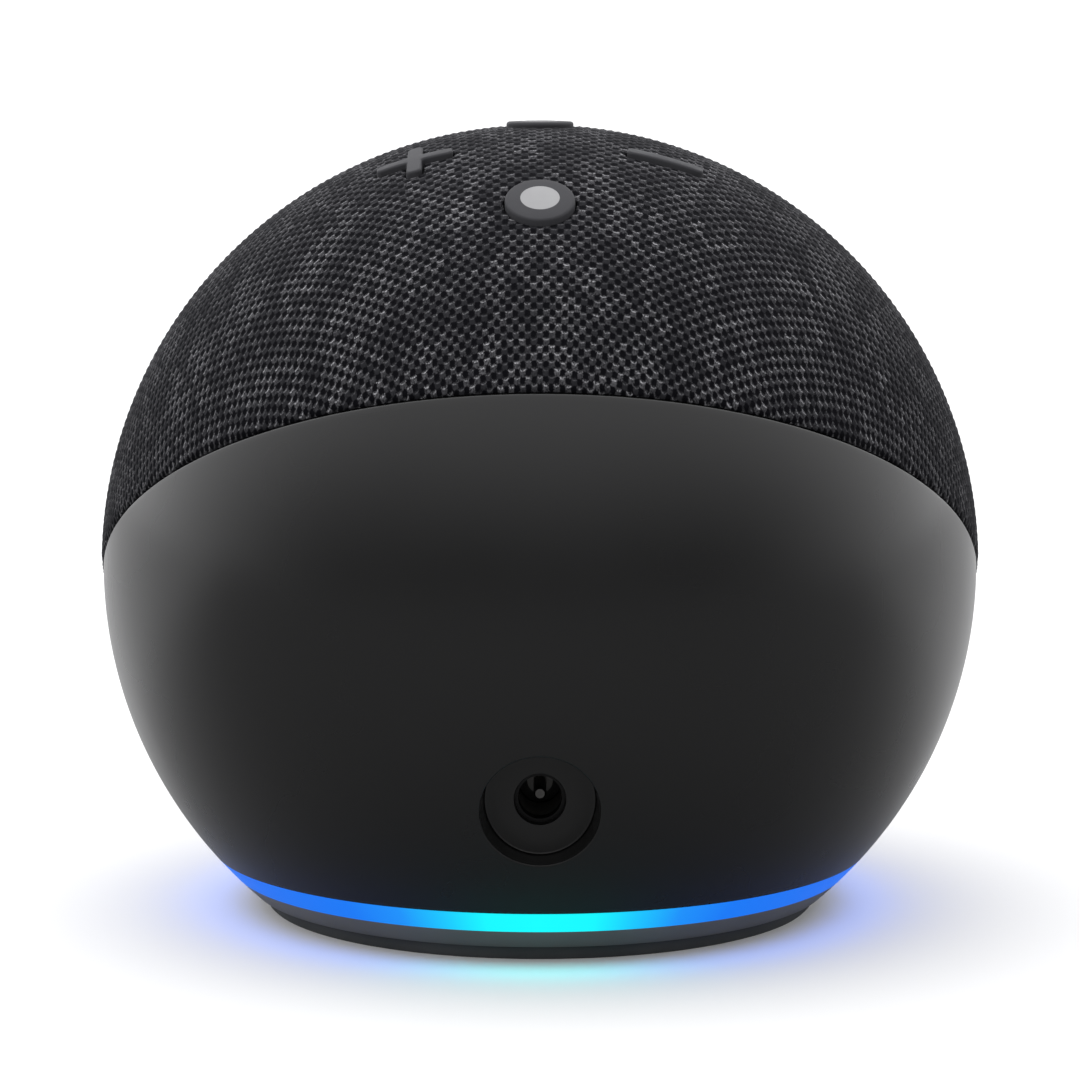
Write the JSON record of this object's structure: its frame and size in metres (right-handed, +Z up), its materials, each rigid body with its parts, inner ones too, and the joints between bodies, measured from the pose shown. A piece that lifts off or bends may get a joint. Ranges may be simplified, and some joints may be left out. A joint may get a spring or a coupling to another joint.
{
  "type": "smart speaker",
  "caption": "Ball-shaped smart speaker with a fabric dome over a smooth rear shell, top keys, a glowing light ring round the base and a round power socket at the back.",
  "frame": {"origin": "middle of the foot's underside, on the table", "axes": "+Z up; the loudspeaker faces -Y (front) and the power socket opens towards +Y (back); +X is to the right seen from the front"},
  "size_m": [0.1, 0.0997, 0.0894],
  "materials": {
    "charcoal_fabric": "knitted, matt, heathered charcoal and grey",
    "black_frame_plastic": "moulded, matt",
    "shell_plastic": "fine satin, charcoal",
    "light_diffuser": "milky translucent, lit cyan to blue",
    "base_plastic": "fine satin, dark grey",
    "foot_rubber": "matt",
    "key_plastic": "fine satin, mid grey",
    "key_mark": "printed, light grey",
    "screw_steel": "black zinc",
    "board_green": "solder mask over glass fibre",
    "chip_black": "moulded package",
    "shield_tin": "tinned",
    "lamp_white": "clear resin over phosphor",
    "can_aluminium": "sleeved cans and wound coils",
    "connector_plastic": "moulded, cream",
    "pad_silicone": "soft",
    "cast_aluminium": "as cast",
    "socket_plastic": "moulded",
    "pin_metal": "nickel plated",
    "contact_metal": "nickel plated spring",
    "chamber_plastic": "moulded, glass filled",
    "seal_foam": "closed-cell foam",
    "basket_steel": "pressed and painted",
    "yoke_steel": "zinc plated",
    "magnet_ferrite": "ground ceramic ferrite",
    "spider_cloth": "resin-dipped cloth",
    "surround_rubber": "moulded",
    "cone_pulp": "pressed pulp",
    "cap_plastic": "moulded",
    "coil_copper": "enamelled copper on a former",
    "lead_sleeve": "insulated",
    "flex_film": "polyimide film"
  },
  "bodies": {
    "housing": {"fabric_cover": "charcoal_fabric", "dome_frame": "black_frame_plastic", "speaker_grille": "black_frame_plastic", "rear_shell": "shell_plastic", "plug_recess": "shell_plastic", "light_ring": "light_diffuser", "base_plate": "base_plastic", "rubber_foot": "foot_rubber", "base_screws": "screw_steel", "chassis_screws": "screw_steel", "led_board": "board_green", "ring_leds": "lamp_white", "main_board": "board_green", "main_processor": "chip_black", "memory_chips": "chip_black", "radio_shield": "shield_tin", "power_parts": "can_aluminium", "board_connectors": "connector_plastic", "antennas": "board_green", "thermal_pad": "pad_silicone", "heat_spreader": "cast_aluminium", "dc_socket_housing": "socket_plastic", "dc_socket_pin": "pin_metal", "dc_socket_contact": "contact_metal", "acoustic_chamber": "chamber_plastic", "baffle_seal": "seal_foam", "front_baffle": "chamber_plastic", "baffle_screws": "screw_steel", "driver_gasket": "seal_foam", "driver_basket": "basket_steel", "driver_screws": "screw_steel", "top_plate": "yoke_steel", "magnet": "magnet_ferrite", "pole_yoke": "yoke_steel", "driver_spider": "spider_cloth", "driver_surround": "surround_rubber", "driver_terminals": "contact_metal", "speaker_leads": "lead_sleeve", "lead_grommet": "seal_foam", "key_board": "board_green", "key_switches": "chip_black", "key_board_screws": "screw_steel", "microphones": "shield_tin", "microphone_gaskets": "seal_foam", "key_flex": "flex_film"},
    "volume_up_body": {"volume_up_key": "key_plastic", "volume_up_plunger": "chip_black"},
    "volume_down_body": {"volume_down_key": "key_plastic", "volume_down_plunger": "chip_black"},
    "action_body": {"action_key": "key_plastic", "action_key_dot": "key_mark", "action_plunger": "chip_black"},
    "microphone_body": {"microphone_key": "key_plastic", "microphone_key_mark": "key_mark", "microphone_plunger": "chip_black"},
    "cone_assembly": {"speaker_cone": "cone_pulp", "dust_cap": "cap_plastic", "voice_coil": "coil_copper"}
  },
  "joints": [
    {"name": "volume_up_press", "type": "slide", "parent": "housing", "child": "volume_up_body", "axis": [0, -0.2554, -0.9668], "range_m": [0, 0.00035], "stiffness_N_per_m": 2000, "springref_m": -0.0001},
    {"name": "volume_down_press", "type": "slide", "parent": "housing", "child": "volume_down_body", "axis": [0, -0.2554, -0.9668], "range_m": [0, 0.00035], "stiffness_N_per_m": 2000, "springref_m": -0.0001},
    {"name": "action_press", "type": "slide", "parent": "housing", "child": "action_body", "axis": [0, -0.2554, -0.9668], "range_m": [0, 0.00035], "stiffness_N_per_m": 2000, "springref_m": -0.0001},
    {"name": "microphone_press", "type": "slide", "parent": "housing", "child": "microphone_body", "axis": [0, -0.2554, -0.9668], "range_m": [0, 0.00035], "stiffness_N_per_m": 2000, "springref_m": -0.0001},
    {"name": "cone_stroke", "type": "slide", "parent": "housing", "child": "cone_assembly", "axis": [0, -0.9659, 0.2588], "range_m": [-0.0015, 0.0015], "stiffness_N_per_m": 1500, "deforming": ["driver_surround", "driver_spider"]}
  ]
}
